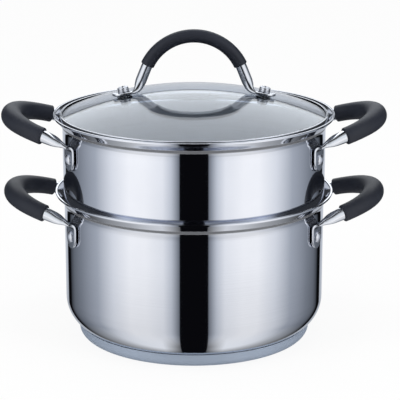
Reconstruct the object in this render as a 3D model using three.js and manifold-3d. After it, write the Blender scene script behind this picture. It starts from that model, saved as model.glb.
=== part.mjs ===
// Steamer pot in polished steel: a pot with an enclosed aluminium base, a steamer insert that nests in
// the pot's flared rim, and a domed glass lid. The handles are bent tube with a soft grip over each.
// Millimetres, +Z up. The origin is the centre of the base's underside, and the side handles lie along X.

import * as THREE from 'three';
import { mergeVertices } from 'three/addons/utils/BufferGeometryUtils.js';
import Module from 'manifold-3d';

const wasm = await Module();
wasm.setup();

const DEGREE = Math.PI / 180;

// Clearances
const SEAT_GAP = 0.3;             // between two pieces that seat on each other
const SHANK_PLAY = 0.3;           // round a rivet or a screw in its hole
const GRIP_PLAY = 0.3;            // between a handle's tube and its grip
const STACK_GAP = 0.15;           // between the pieces screwed to the lid's glass

// Drawn sheet of both vessels
const SHEET = 0.8;
const POT_RADIUS = 100.8;         // outside of the pot's wall
const POT_HEIGHT = 115.6;         // underside of the base to the top of the pot's lip
const POT_CORNER = 25;            // outside radius between floor and wall
const STEAMER_STEP = 0.5;         // steamer's wall outside the pot's wall
const STEAMER_RISE = 60;          // from the pot's lip to the steamer's lip
const SPIGOT_PLAY = 1.2;          // radial room round the spigot inside the pot
const SPIGOT_DEPTH = 10;          // from the steamer's shoulder down to its floor
const STEAMER_CORNER = 8;         // outside radius between floor and spigot

// Flared rim of both vessels, ending in a rolled bead
const FLARE_WIDTH = 6;            // from the wall out to the middle of the bead
const FLARE_ANGLE = 38 * DEGREE;  // away from upright
const FLARE_FILLET = 2.4;
const BEAD_RADIUS = 0.9;

// Base under the pot
const CORE_THICKNESS = 5;
const BASE_INSET = 10.2;          // base's side inside the pot's wall
const CLADDING = 0.6;
const BASE_EDGE = 6;              // rounding of the cladding's lower edge

// Steam holes in the steamer's floor: one in the middle and rings round it
const STEAM_HOLE_RADIUS = 3.5;
const STEAM_RING_PITCH = 24;
const STEAM_RINGS = 3;
const STEAM_HOLES_PER_RING = 6;   // and as many more in each further ring

// Side handles
const LOOP_RADIUS = 42.5;         // to the middle of the tube
const LOOP_DROP = 1.8;            // outer end of the loop below the lip
const LOOP_TILT = 17.3 * DEGREE;
const SIDE_TUBE_RADIUS = 4.8;
const SIDE_TAB_WIDTH = 18;
const SIDE_BEND = 2.5;            // leg of the bend between tab and arm
const ARM_STRAIGHT = 4;           // from the bend to the start of the loop
const ARM_SAG = 2.2;              // how far the arm droops below the loop's plane at the bend
const SIDE_GRIP_SPREAD = 70.5 * DEGREE;
const SIDE_GRIP_END_WALL = 1.1;
const SIDE_GRIP_SWELL = 1.6;      // how much thicker its wall is in the middle
const TUBE_WALL = 0.9;
const TAB_THICKNESS = 2.2;        // two walls and the slit between them

// Rivets of the side handles
const RIVET_CLEAR = 2;            // between the rivet's head and the bend above it
const RIVET_RADIUS = 2.5;
const RIVET_HEAD_RADIUS = 4.5;
const RIVET_HEAD_HEIGHT = 2.4;
const RIVET_TAIL_HEIGHT = 1.2;    // head formed inside the vessel

// Lid
const LID_RIM_STEP = 1.9;         // band's side outside the steamer's wall
const LID_RIM_SHEET = 0.6;
const LID_RIM_FLANGE = 2.2;       // how far the band grips over the glass
const LID_RIM_ROUND = 0.9;
const LID_SEAT_HEIGHT = 1.2;      // bevel that seats in the steamer's flare
const GLASS_THICKNESS = 4;
const GLASS_EDGE_PLAY = 0.7;      // between the glass's edge and the band
const DOME_RISE = 19;             // from the glass's upper edge to its top

// Lid handle
const LID_HOLE_REACH = 53.5;      // from the axis to each hole in the glass
const ARCH_TOP = 41;              // top of the arch's tube line above the top of the glass
const ARCH_SPREAD = 68 * DEGREE;  // each way from the top, where the straight legs start
const LID_TUBE_RADIUS = 4.25;
const LID_TAB_WIDTH = 14;
const LID_TAB_END = 9;            // from the hole to the tab's round end
const LID_BEND = 4;
const LEG_CLEAR = 2;              // between the screw's head and the bend
const LID_BEND_FLATNESS = 0.2;    // at the top of the bend, where the tab is 1 and the tube is 0
const LID_FLATTEN = 4;            // length over which the leg is pressed flat
const LID_GRIP_STOP = 3.5 * DEGREE;  // bare end of the arch below the grip
const LID_GRIP_WALL = 0.55;

// Fasteners of the lid handle
const GASKET_RADIUS = 6;
const GASKET_THICKNESS = 0.5;
const SCREW_RADIUS = 2;
const SCREW_HEAD_RADIUS = 4.3;
const SCREW_HEAD_HEIGHT = 3.6;
const SCREW_HEAD_ROUND = 1;
const SLOT_WIDTH = 1.2;
const SLOT_DEPTH = 1.4;
const NUT_FLANGE_RADIUS = 5.5;
const NUT_FLANGE_THICKNESS = 1.2;
const NUT_RADIUS = 3.6;
const NUT_HEIGHT = 4;

// Facets
const ROUND_STEPS = 36;
const SMALL_STEPS = 10;
const HOLE_SIDES = 8;
const TUBE_SIDES = 12;
const BORE_SIDES = 6;
const CORNER_STEPS = 5;
const FILLET_STEPS = 2;
const BEAD_STEPS = 4;
const DOME_STEPS = 6;
const BEND_STEPS = 3;
const ARM_STEPS = 3;
const GRIP_STEPS = 8;
const TAB_END_STEPS = 3;
const TAB_SQUARENESS = 4;         // section of a tab: 2 is an ellipse, more is squarer
const CUT_OVERSHOOT = 1;          // how far a cutter reaches past what it cuts

const FINISHES = {
  polishedSteel: { color: 0xd6d9df, roughness: 0.08, metalness: 1 },
  satinSteel: { color: 0x98a2b0, roughness: 0.35, metalness: 1 },
  aluminium: { color: 0xc4c7cb, roughness: 0.45, metalness: 1 },
  softGrip: { color: 0x35383f, roughness: 0.6, metalness: 0 },
  clearGlass: { color: 0xc9d3e0, roughness: 0.03, metalness: 0, transparent: true, opacity: 0.35 },
};

const point = (radius, height) => new THREE.Vector2(radius, height);
const place = (x, y, z) => new THREE.Vector3(x, y, z);
const upward = place(0, 0, 1);

// A closed body as a solid that can be joined or cut, and back
function solid(geometry) {
  const bare = new THREE.BufferGeometry();
  bare.setAttribute('position', geometry.getAttribute('position').clone());
  bare.setIndex(geometry.getIndex());
  const merged = mergeVertices(bare);
  const corners = Array.from(merged.getIndex().array);
  const triangles = [];
  for (let i = 0; i < corners.length; i += 3) {
    const [a, b, c] = corners.slice(i, i + 3);
    if (a !== b && b !== c && c !== a) triangles.push(a, b, c);
  }
  return new wasm.Manifold(new wasm.Mesh({
    numProp: 3,
    vertProperties: new Float32Array(merged.getAttribute('position').array),
    triVerts: new Uint32Array(triangles),
  }));
}

function geometryOf(body) {
  const mesh = body.getMesh();
  const geometry = new THREE.BufferGeometry();
  geometry.setAttribute('position', new THREE.BufferAttribute(mesh.vertProperties, 3));
  geometry.setIndex(new THREE.BufferAttribute(mesh.triVerts, 1));
  geometry.computeVertexNormals();
  return geometry;
}

function cut(geometry, cutters) {
  const body = cutters.reduce((left, cutter) => left.subtract(solid(cutter)), solid(geometry));
  return geometryOf(body);
}

// A profile of radius and height, listed from the axis outward and up, turned about Z
function turned(profile, steps = ROUND_STEPS) {
  const geometry = new THREE.LatheGeometry(profile, steps);
  return geometry.rotateX(Math.PI / 2);
}

// A round bar along Z, for holes
function bar(radius, from, to, sides = SMALL_STEPS) {
  return turned([point(0, from), point(radius, from), point(radius, to), point(0, to)], sides);
}

const arc = (centre, radius, from, to, steps) => Array.from({ length: steps + 1 }, (_, i) => {
  const angle = from + (to - from) * i / steps;
  return point(centre.x + radius * Math.cos(angle), centre.y + radius * Math.sin(angle));
});

// The inner face of a sheet whose outer face runs from the axis outward and up
function innerFace(outer, thickness) {
  const normals = outer.slice(1).map((end, i) => {
    const run = end.clone().sub(outer[i]).normalize();
    return point(-run.y, run.x);
  });
  return outer.map((at, i) => {
    const before = normals[Math.max(i - 1, 0)];
    const after = normals[Math.min(i, normals.length - 1)];
    const mitre = before.clone().add(after).divideScalar(1 + before.dot(after));
    return at.clone().addScaledVector(mitre, thickness);
  });
}

// The flare of a vessel: where its sheet ends in the bead, and the cone of its inner face
function flareOf(wallRadius, lip) {
  const run = point(Math.sin(FLARE_ANGLE), Math.cos(FLARE_ANGLE));
  const inward = point(-run.y, run.x);
  const bead = point(wallRadius + FLARE_WIDTH, lip - BEAD_RADIUS);
  const setBack = Math.sqrt(BEAD_RADIUS ** 2 - (SHEET / 2) ** 2);
  const sheetEnd = bead.clone().addScaledVector(run, -setBack);
  const outerEnd = sheetEnd.clone().addScaledVector(inward, -SHEET / 2);
  const innerEnd = sheetEnd.clone().addScaledVector(inward, SHEET / 2);
  const corner = outerEnd.clone().addScaledVector(run, (wallRadius - outerEnd.x) / run.x);
  const start = point(corner.x, corner.y - FLARE_FILLET);
  const finish = corner.clone().addScaledVector(run, FLARE_FILLET);
  const fillet = new THREE.QuadraticBezierCurve(start, corner, finish);
  const heightAt = (radius) => innerEnd.y + (radius - innerEnd.x) / Math.tan(FLARE_ANGLE);
  return { bead, outerEnd, innerEnd, fillet: fillet.getPoints(FILLET_STEPS), heightAt };
}

// A vessel: its outer face up to the wall, then the flare, the bead and the inner face back down
function vessel(outerFace, flare) {
  const outer = [...outerFace, ...flare.fillet, flare.outerEnd];
  const { bead, outerEnd, innerEnd } = flare;
  const from = Math.atan2(outerEnd.y - bead.y, outerEnd.x - bead.x);
  const to = Math.atan2(innerEnd.y - bead.y, innerEnd.x - bead.x);
  const roll = arc(bead, BEAD_RADIUS, from, to < from ? to + 2 * Math.PI : to, BEAD_STEPS);
  const inner = innerFace(outer, SHEET).reverse();
  return turned([...outer, ...roll.slice(1, -1), ...inner]);
}

// The pot
const potFloor = CLADDING + CORE_THICKNESS;
const potFlare = flareOf(POT_RADIUS, POT_HEIGHT);
const potFlat = POT_RADIUS - POT_CORNER;
const potCorner = arc(point(potFlat, potFloor + POT_CORNER), POT_CORNER, -Math.PI / 2, 0, CORNER_STEPS);
const potShell = vessel([point(0, potFloor), ...potCorner], potFlare);

// The base: an aluminium disc in a shallow steel cup, whose wall stops just short of the pot's corner
const baseRadius = POT_RADIUS - BASE_INSET;
const cupInside = baseRadius - CLADDING;
const overFlat = Math.max(cupInside - potFlat, 0);
const cornerRise = POT_CORNER - Math.sqrt(POT_CORNER ** 2 - overFlat ** 2);
const cupHeight = potFloor + cornerRise - SEAT_GAP;
const cupEdge = arc(point(baseRadius - BASE_EDGE, BASE_EDGE), BASE_EDGE, -Math.PI / 2, 0, CORNER_STEPS);
const cupOuter = [point(0, 0), ...cupEdge, point(baseRadius, cupHeight)];
const cupShell = turned([...cupOuter, ...innerFace(cupOuter, CLADDING).reverse()]);
const coreRadius = cupInside - SEAT_GAP;
const coreEdge = arc(
  point(coreRadius - BASE_EDGE, CLADDING + BASE_EDGE),
  BASE_EDGE,
  -Math.PI / 2,
  Math.asin(Math.min(CORE_THICKNESS / BASE_EDGE - 1, 0)),
  CORNER_STEPS,
);
if (CORE_THICKNESS > BASE_EDGE) coreEdge.push(point(coreRadius, potFloor));
const coreDisc = turned([point(0, CLADDING), ...coreEdge, point(0, potFloor)]);

// The steamer: floor, spigot, a shoulder that follows the pot's flare, and the wall
const steamerRadius = POT_RADIUS + STEAMER_STEP;
const steamerLip = POT_HEIGHT + STEAMER_RISE;
const steamerFlare = flareOf(steamerRadius, steamerLip);
const spigotRadius = POT_RADIUS - SHEET - SPIGOT_PLAY;
const seatStandOff = SEAT_GAP / Math.cos(FLARE_ANGLE);
const shoulderLow = point(spigotRadius, potFlare.heightAt(spigotRadius + seatStandOff));
const shoulderHigh = point(steamerRadius, potFlare.heightAt(steamerRadius + seatStandOff));
const steamerFloor = shoulderLow.y - SPIGOT_DEPTH;
const steamerCorner = arc(
  point(spigotRadius - STEAMER_CORNER, steamerFloor + STEAMER_CORNER),
  STEAMER_CORNER,
  -Math.PI / 2,
  0,
  FILLET_STEPS,
);
const steamerShell = vessel(
  [point(0, steamerFloor), ...steamerCorner, shoulderLow, shoulderHigh],
  steamerFlare,
);

const steamHoles = [];
for (let ring = 0; ring <= STEAM_RINGS; ring += 1) {
  const count = Math.max(ring * STEAM_HOLES_PER_RING, 1);
  for (let i = 0; i < count; i += 1) {
    const turn = 2 * Math.PI * i / count;
    const hole = bar(
      STEAM_HOLE_RADIUS,
      steamerFloor - CUT_OVERSHOOT,
      steamerFloor + SHEET + CUT_OVERSHOOT,
      HOLE_SIDES,
    );
    const reach = ring * STEAM_RING_PITCH;
    steamHoles.push(hole.translate(reach * Math.cos(turn), reach * Math.sin(turn), 0));
  }
}

// Points of a section that goes from an ellipse to a squarer outline
function sectionOf({ at, along, across, halfWidth, halfHeight, squareness }, sides) {
  const side = across.clone().addScaledVector(along, -across.dot(along)).normalize();
  const up = along.clone().cross(side);
  const swell = (share) => Math.sign(share) * Math.abs(share) ** (2 / squareness);
  return Array.from({ length: sides }, (_, i) => {
    const turn = 2 * Math.PI * (i + 0.5) / sides;
    return at.clone()
      .addScaledVector(side, halfWidth * swell(Math.cos(turn)))
      .addScaledVector(up, halfHeight * swell(Math.sin(turn)));
  });
}

// A closed skin over a row of sections
function loft(stations, sides = TUBE_SIDES) {
  const rings = stations.map((station) => sectionOf(station, sides));
  const faces = [];
  for (let ring = 0; ring + 1 < rings.length; ring += 1) {
    for (let i = 0; i < sides; i += 1) {
      const a = ring * sides + i;
      const b = ring * sides + (i + 1) % sides;
      faces.push(a, b, a + sides, b, b + sides, a + sides);
    }
  }
  const last = (rings.length - 1) * sides;
  for (let i = 1; i + 1 < sides; i += 1) {
    faces.push(0, i + 1, i, last, last + i, last + i + 1);
  }
  const geometry = new THREE.BufferGeometry().setFromPoints(rings.flat());
  geometry.setIndex(faces);
  return geometry;
}

// The section of a handle's tube: flat is 1 on the tab and 0 where the tube is round
function tubeSection(tubeRadius, tabWidth, flat, tabEndShare = 1) {
  return {
    halfWidth: THREE.MathUtils.lerp(tubeRadius, tabWidth / 2, flat) * tabEndShare,
    halfHeight: THREE.MathUtils.lerp(tubeRadius, TAB_THICKNESS / 2, flat),
    squareness: THREE.MathUtils.lerp(2, TAB_SQUARENESS, flat),
  };
}

// How far in from a tab's round end each section lies, and its share of the tab's width there
function tabEnd(tabWidth) {
  const radius = tabWidth / 2;
  return Array.from({ length: TAB_END_STEPS }, (_, i) => {
    const angle = (i + 0.5) / (TAB_END_STEPS - 0.5) * Math.PI / 2;
    return { inset: radius * (1 - Math.cos(angle)), share: Math.sin(angle) };
  });
}

// Gives each station the direction of the tube there
function withDirections(stations) {
  return stations.map((station, i) => {
    const before = stations[Math.max(i - 1, 0)].at;
    const after = stations[Math.min(i + 1, stations.length - 1)].at;
    return { ...station, along: after.clone().sub(before).normalize() };
  });
}

// A hollow tube: its bore leaves a wall all round and comes out at the slit in each tab's end
function tubeBody(stations, holes) {
  const bore = stations.map((station) => ({
    ...station,
    halfWidth: station.halfWidth - TUBE_WALL,
    halfHeight: station.halfHeight - TUBE_WALL,
  }));
  const first = bore[0];
  const last = bore[bore.length - 1];
  const mouth = { ...first, at: first.at.clone().addScaledVector(first.along, -CUT_OVERSHOOT) };
  const exit = { ...last, at: last.at.clone().addScaledVector(last.along, CUT_OVERSHOOT) };
  return cut(loft(stations), [loft([mouth, ...bore, exit], BORE_SIDES), ...holes]);
}

// A grip: a sleeve along the tube's own line, with a wall thickness at each station
function gripBody(stations, tubeRadius, wallAt) {
  const boreRadius = tubeRadius + GRIP_PLAY;
  const round = (station, radius) => ({
    ...station,
    halfWidth: radius,
    halfHeight: radius,
    squareness: 2,
  });
  const skin = stations.map((station, i) => {
    const share = 2 * i / (stations.length - 1) - 1;
    return round(station, boreRadius + wallAt(share));
  });
  const bore = stations.map((station) => round(station, boreRadius));
  const first = bore[0];
  const last = bore[bore.length - 1];
  const mouth = { ...first, at: first.at.clone().addScaledVector(first.along, -CUT_OVERSHOOT) };
  const exit = { ...last, at: last.at.clone().addScaledVector(last.along, CUT_OVERSHOOT) };
  return cut(loft(skin), [loft([mouth, ...bore, exit])]);
}

// A loop handle on the +X side of a vessel, with its lip at height 0
function sideHandle(wallRadius) {
  const tabReach = wallRadius + SEAT_GAP + TAB_THICKNESS / 2;
  const azimuth = Math.asin(LOOP_RADIUS / tabReach);
  const outward = place(Math.cos(LOOP_TILT), 0, Math.sin(LOOP_TILT));
  const centre = place(
    tabReach * Math.cos(azimuth) + (SIDE_BEND + ARM_STRAIGHT) * outward.x,
    0,
    -LOOP_DROP - LOOP_RADIUS * outward.z,
  );
  const elbowHeight = centre.z - (SIDE_BEND + ARM_STRAIGHT) * outward.z - ARM_SAG;
  const rivetHeight = elbowHeight - SIDE_BEND - RIVET_CLEAR - RIVET_HEAD_RADIUS;
  const onLoop = (angle) => centre.clone()
    .addScaledVector(outward, LOOP_RADIUS * Math.cos(angle))
    .addScaledVector(place(0, 1, 0), LOOP_RADIUS * Math.sin(angle));

  // One arm, from the tab's lower end up to where the grip starts; hand is -1 in front, 1 behind
  const armOf = (hand) => {
    const across = place(-hand * Math.sin(azimuth), Math.cos(azimuth), 0);
    const elbow = place(tabReach * Math.cos(azimuth), hand * LOOP_RADIUS, elbowHeight);
    const tabBottom = elbow.clone().setZ(rivetHeight - SIDE_TAB_WIDTH / 2);
    const section = (flat, share) => tubeSection(SIDE_TUBE_RADIUS, SIDE_TAB_WIDTH, flat, share);
    const tab = tabEnd(SIDE_TAB_WIDTH).map(({ inset, share }) => ({
      at: tabBottom.clone().addScaledVector(upward, inset),
      across,
      ...section(1, share),
    }));
    const bend = new THREE.QuadraticBezierCurve3(
      elbow.clone().addScaledVector(upward, -SIDE_BEND),
      elbow,
      elbow.clone().addScaledVector(outward, SIDE_BEND),
    ).getPoints(BEND_STEPS).map((at) => ({ at, across, ...section(1) }));
    const armTurn = Math.PI / 2 - SIDE_GRIP_SPREAD;
    const armLength = ARM_STRAIGHT + LOOP_RADIUS * armTurn;
    const arm = Array.from({ length: ARM_STEPS + 1 }, (_, i) => {
      const turn = armTurn * i / ARM_STEPS;
      const flat = 1 - (ARM_STRAIGHT + LOOP_RADIUS * turn) / armLength;
      const level = onLoop(hand * (Math.PI / 2 - turn));
      return {
        at: level.clone().addScaledVector(upward, -ARM_SAG * flat ** 2),
        across: level.sub(centre).multiplyScalar(hand),
        ...section(flat ** 2),
      };
    });
    return [...tab, ...bend, ...arm];
  };

  const gripped = Array.from({ length: GRIP_STEPS + 1 }, (_, i) => {
    const angle = SIDE_GRIP_SPREAD * (2 * i / GRIP_STEPS - 1);
    const at = onLoop(angle);
    return { at, across: centre.clone().sub(at), ...tubeSection(SIDE_TUBE_RADIUS, SIDE_TAB_WIDTH, 0) };
  });
  const front = armOf(-1);
  const back = armOf(1).reverse();
  const turnedAcross = (station) => ({ ...station, across: station.across.clone().negate() });
  const line = withDirections([
    ...front.slice(0, -1),
    ...gripped,
    ...back.slice(1).map(turnedAcross),
  ]);
  const gripLine = line.slice(front.length - 1, front.length + GRIP_STEPS);
  const holes = [-1, 1].map((hand) => {
    const hole = bar(RIVET_RADIUS + SHANK_PLAY, wallRadius - SHEET - CUT_OVERSHOOT,
      tabReach + TAB_THICKNESS / 2 + CUT_OVERSHOOT);
    return hole.rotateY(Math.PI / 2).rotateZ(hand * azimuth).translate(0, 0, rivetHeight);
  });
  const wallAt = (share) => SIDE_GRIP_END_WALL + SIDE_GRIP_SWELL * Math.cos(share * Math.PI / 2) ** 2;
  return {
    azimuth,
    rivetHeight,
    holes,
    tabFace: tabReach + TAB_THICKNESS / 2,
    tube: tubeBody(line, holes),
    grip: gripBody(gripLine, SIDE_TUBE_RADIUS, wallAt),
  };
}

// A rivet along X: tail inside the wall, shank, and a domed head on the tab
function rivetBody(wallRadius, tabFace) {
  const facet = Math.cos(Math.PI / ROUND_STEPS);
  const wallInside = Math.sqrt((wallRadius - SHEET) ** 2 - RIVET_HEAD_RADIUS ** 2) * facet;
  const tailFace = wallInside - SEAT_GAP;
  const headFace = tabFace + SEAT_GAP;
  const dome = (face, height) => arc(point(0, 0), 1, 0, Math.PI / 2, FILLET_STEPS)
    .map(({ x, y }) => point(RIVET_HEAD_RADIUS * x, face + height * y));
  const profile = [
    ...dome(tailFace, -RIVET_TAIL_HEIGHT).reverse(),
    point(RIVET_RADIUS, tailFace),
    point(RIVET_RADIUS, headFace),
    ...dome(headFace, RIVET_HEAD_HEIGHT),
  ];
  profile[0].x = 0;
  profile[profile.length - 1].x = 0;
  return turned(profile, SMALL_STEPS).rotateY(Math.PI / 2);
}

// The lid's glass: a dome of even thickness, seated in the channel of the band
const rimRadius = steamerRadius + LID_RIM_STEP;
const glassRadius = rimRadius - LID_RIM_SHEET - GLASS_EDGE_PLAY;
const domeRadius = (glassRadius ** 2 + DOME_RISE ** 2) / (2 * DOME_RISE);
const rimBottom = steamerFlare.heightAt(rimRadius + seatStandOff) - LID_SEAT_HEIGHT;
const glassBottom = rimBottom + LID_RIM_SHEET + SEAT_GAP;
const innerDome = domeRadius - GLASS_THICKNESS;
const domeCentre = glassBottom - Math.sqrt(innerDome ** 2 - glassRadius ** 2);
const glassTopAt = (radius) => domeCentre + Math.sqrt(domeRadius ** 2 - radius ** 2);
const glassTop = glassTopAt(0);
const domeFace = (radius) => {
  const spread = Math.asin(glassRadius / radius);
  return arc(point(0, domeCentre), radius, Math.PI / 2 - spread, Math.PI / 2, DOME_STEPS);
};
const glassProfile = [...domeFace(innerDome).reverse(), ...domeFace(domeRadius)];
glassProfile[0].x = 0;
glassProfile[glassProfile.length - 1].x = 0;

// The band folded round the glass
const rimLip = rimRadius - LID_RIM_FLANGE;
const rimTop = glassTopAt(rimLip) + SEAT_GAP + LID_RIM_SHEET;
const bevelWidth = LID_SEAT_HEIGHT * Math.tan(FLARE_ANGLE);
const rimCorner = point(rimRadius - LID_RIM_ROUND, rimTop - LID_RIM_ROUND);
const rimOuter = [
  point(rimLip, rimBottom),
  point(rimRadius - bevelWidth, rimBottom),
  point(rimRadius, rimBottom + LID_SEAT_HEIGHT),
  ...arc(rimCorner, LID_RIM_ROUND, 0, Math.PI / 2, FILLET_STEPS),
  point(rimLip, rimTop),
];
const rimBand = turned([...rimOuter, ...innerFace(rimOuter, LID_RIM_SHEET).reverse(), rimOuter[0]]);

// Frame of each fastener: on the dome at its hole, square to the glass
const domeLean = Math.asin(LID_HOLE_REACH / domeRadius);
const fastenerPlace = place(LID_HOLE_REACH, 0, glassTopAt(LID_HOLE_REACH));
const gasketTop = STACK_GAP + GASKET_THICKNESS;
const tabLow = gasketTop + STACK_GAP;
const tabHigh = tabLow + TAB_THICKNESS;
const sealTop = -GLASS_THICKNESS - SEAT_GAP;
const sealBottom = sealTop - GASKET_THICKNESS;
const nutTop = sealBottom - STACK_GAP;
const nutBottom = nutTop - NUT_FLANGE_THICKNESS - NUT_HEIGHT;
const screwHole = SCREW_RADIUS + SHANK_PLAY;
const toFastener = new THREE.Matrix4().makeRotationY(domeLean).setPosition(fastenerPlace);

function fastenerHole() {
  return bar(screwHole, nutTop, tabHigh + CUT_OVERSHOOT).applyMatrix4(toFastener);
}

const halfTurn = (geometry) => geometry.rotateZ(Math.PI);
const lidHoles = () => [fastenerHole(), halfTurn(fastenerHole())];
const glassBody = cut(turned(glassProfile), lidHoles());

// The lid's handle: tab, bend, leg and arch, then the same again mirrored
function lidHandle() {
  const across = place(0, 1, 0);
  const section = (flat, share) => tubeSection(LID_TUBE_RADIUS, LID_TAB_WIDTH, flat, share);
  const tabMiddle = place(0, 0, (tabLow + tabHigh) / 2).applyMatrix4(toFastener);
  const tabRun = place(Math.cos(domeLean), 0, -Math.sin(domeLean));
  const tabTip = tabMiddle.clone().addScaledVector(tabRun, LID_TAB_END);
  const elbow = tabMiddle.clone().addScaledVector(tabRun, -SCREW_HEAD_RADIUS - LEG_CLEAR - LID_BEND);

  // The arch is the circle that touches both legs and its own top
  const legRun = place(Math.cos(ARCH_SPREAD), 0, -Math.sin(ARCH_SPREAD));
  const archTop = glassTop + ARCH_TOP;
  const peak = elbow.z + elbow.x * Math.tan(ARCH_SPREAD);
  const archRadius = (peak - archTop) / (1 / Math.cos(ARCH_SPREAD) - 1);
  const onArch = (angle) => place(
    archRadius * Math.sin(angle),
    0,
    archTop - archRadius * (1 - Math.cos(angle)),
  );
  const legTop = onArch(ARCH_SPREAD);
  const legLength = legTop.distanceTo(elbow);
  const bend = new THREE.QuadraticBezierCurve3(
    elbow.clone().addScaledVector(tabRun, LID_BEND),
    elbow,
    elbow.clone().addScaledVector(legRun, -LID_BEND),
  ).getPoints(BEND_STEPS);
  const pressed = Math.min(LID_FLATTEN, legLength - LID_BEND);
  const half = [
    ...tabEnd(LID_TAB_WIDTH).map(({ inset, share }) => ({
      at: tabTip.clone().addScaledVector(tabRun, -inset),
      ...section(1, share),
    })),
    ...bend.map((at, i) => ({ at, ...section(1 - (1 - LID_BEND_FLATNESS) * i / BEND_STEPS) })),
    { at: elbow.clone().addScaledVector(legRun, -LID_BEND - pressed), ...section(0) },
    { at: legTop, ...section(0) },
  ].map((station) => ({ ...station, across }));
  const gripped = Array.from({ length: GRIP_STEPS + 1 }, (_, i) => ({
    at: onArch((ARCH_SPREAD - LID_GRIP_STOP) * (1 - 2 * i / GRIP_STEPS)),
    across,
    ...section(0),
  }));
  const mirrored = half.map((station) => {
    const at = station.at.clone();
    at.x *= -1;
    return { ...station, at };
  }).reverse();
  const line = withDirections([...half, ...gripped, ...mirrored]);
  const gripLine = line.slice(half.length, half.length + gripped.length);
  return {
    tube: tubeBody(line, lidHoles()),
    grip: gripBody(gripLine, LID_TUBE_RADIUS, () => LID_GRIP_WALL),
  };
}

// A flat ring with a screw's clearance hole
function washer(radius, from, to) {
  return turned([
    point(screwHole, from),
    point(radius, from),
    point(radius, to),
    point(screwHole, to),
    point(screwHole, from),
  ], SMALL_STEPS);
}

// The screw, upright on its own axis: shank, round-edged head and cross recess
function screwBody() {
  const headLow = tabHigh + STACK_GAP;
  const headHigh = headLow + SCREW_HEAD_HEIGHT;
  const edge = point(SCREW_HEAD_RADIUS - SCREW_HEAD_ROUND, headHigh - SCREW_HEAD_ROUND);
  const blank = turned([
    point(0, nutBottom),
    point(SCREW_RADIUS, nutBottom),
    point(SCREW_RADIUS, headLow),
    point(SCREW_HEAD_RADIUS, headLow),
    ...arc(edge, SCREW_HEAD_ROUND, 0, Math.PI / 2, FILLET_STEPS),
    point(0, headHigh),
  ], SMALL_STEPS);
  const slotLength = 2 * (SCREW_HEAD_RADIUS - SCREW_HEAD_ROUND);
  const slotHeight = SLOT_DEPTH + CUT_OVERSHOOT;
  const slots = [[slotLength, SLOT_WIDTH], [SLOT_WIDTH, slotLength]].map(([x, y]) => {
    const slot = new THREE.BoxGeometry(x, y, slotHeight);
    return slot.translate(0, 0, headHigh - SLOT_DEPTH + slotHeight / 2);
  });
  return cut(blank, slots);
}

// The nut under the glass: a round flange and a round boss
function nutBody() {
  return turned([
    point(screwHole, nutBottom),
    point(NUT_RADIUS, nutBottom),
    point(NUT_RADIUS, nutTop - NUT_FLANGE_THICKNESS),
    point(NUT_FLANGE_RADIUS, nutTop - NUT_FLANGE_THICKNESS),
    point(NUT_FLANGE_RADIUS, nutTop),
    point(screwHole, nutTop),
    point(screwHole, nutBottom),
  ], SMALL_STEPS);
}

// Assembly
function piece(name, geometry, finish) {
  const mesh = new THREE.Mesh(geometry, new THREE.MeshStandardMaterial(FINISHES[finish]));
  mesh.name = name;
  return mesh;
}

// A vessel's shell with its rivet holes, its two handles, their grips and the rivets
function vesselGroup(name, shell, extraHoles, wallRadius, lip) {
  const group = new THREE.Group();
  const handle = sideHandle(wallRadius);
  const rivetHoles = [0, Math.PI].flatMap((turn) => handle.holes.map(
    (hole) => hole.clone().rotateZ(turn).translate(0, 0, lip),
  ));
  group.add(piece(`${name}_body`, cut(shell, [...extraHoles, ...rivetHoles]), 'polishedSteel'));
  const rivet = rivetBody(wallRadius, handle.tabFace);
  for (const [side, turn] of [['right', 0], ['left', Math.PI]]) {
    const half = new THREE.Group();
    half.position.z = lip;
    half.rotation.z = turn;
    half.add(piece(`${name}_handle_${side}`, handle.tube, 'polishedSteel'));
    half.add(piece(`${name}_grip_${side}`, handle.grip, 'softGrip'));
    const frontHand = turn === 0 ? -1 : 1;
    for (const [end, hand] of [['front', frontHand], ['back', -frontHand]]) {
      const mesh = piece(`${name}_rivet_${side}_${end}`, rivet, 'polishedSteel');
      mesh.rotation.z = hand * handle.azimuth;
      mesh.position.z = handle.rivetHeight;
      half.add(mesh);
    }
    group.add(half);
  }
  return group;
}

const pot = vesselGroup('pot', potShell, [], POT_RADIUS, POT_HEIGHT);
pot.add(piece('pot_base_core', coreDisc, 'aluminium'));
pot.add(piece('pot_base_cladding', cupShell, 'satinSteel'));

const steamer = vesselGroup('steamer', steamerShell, steamHoles, steamerRadius, steamerLip);

const lid = new THREE.Group();
const arch = lidHandle();
lid.add(piece('lid_glass', glassBody, 'clearGlass'));
lid.add(piece('lid_rim', rimBand, 'polishedSteel'));
lid.add(piece('lid_handle', arch.tube, 'polishedSteel'));
lid.add(piece('lid_grip', arch.grip, 'softGrip'));
for (const [side, turn] of [['right', 0], ['left', Math.PI]]) {
  const half = new THREE.Group();
  half.rotation.z = turn;
  const stack = new THREE.Group();
  stack.position.copy(fastenerPlace);
  stack.rotation.y = domeLean;
  stack.add(piece(`lid_screw_${side}`, screwBody(), 'polishedSteel'));
  stack.add(piece(`lid_gasket_${side}`, washer(GASKET_RADIUS, STACK_GAP, gasketTop), 'softGrip'));
  stack.add(piece(`lid_seal_${side}`, washer(GASKET_RADIUS, sealBottom, sealTop), 'softGrip'));
  stack.add(piece(`lid_nut_${side}`, nutBody(), 'polishedSteel'));
  half.add(stack);
  lid.add(half);
}

const steamerPot = new THREE.Group();
steamerPot.add(pot, steamer, lid);

export default steamerPot;
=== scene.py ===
import math

import bmesh
import bpy
from mathutils import Matrix, Vector


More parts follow.
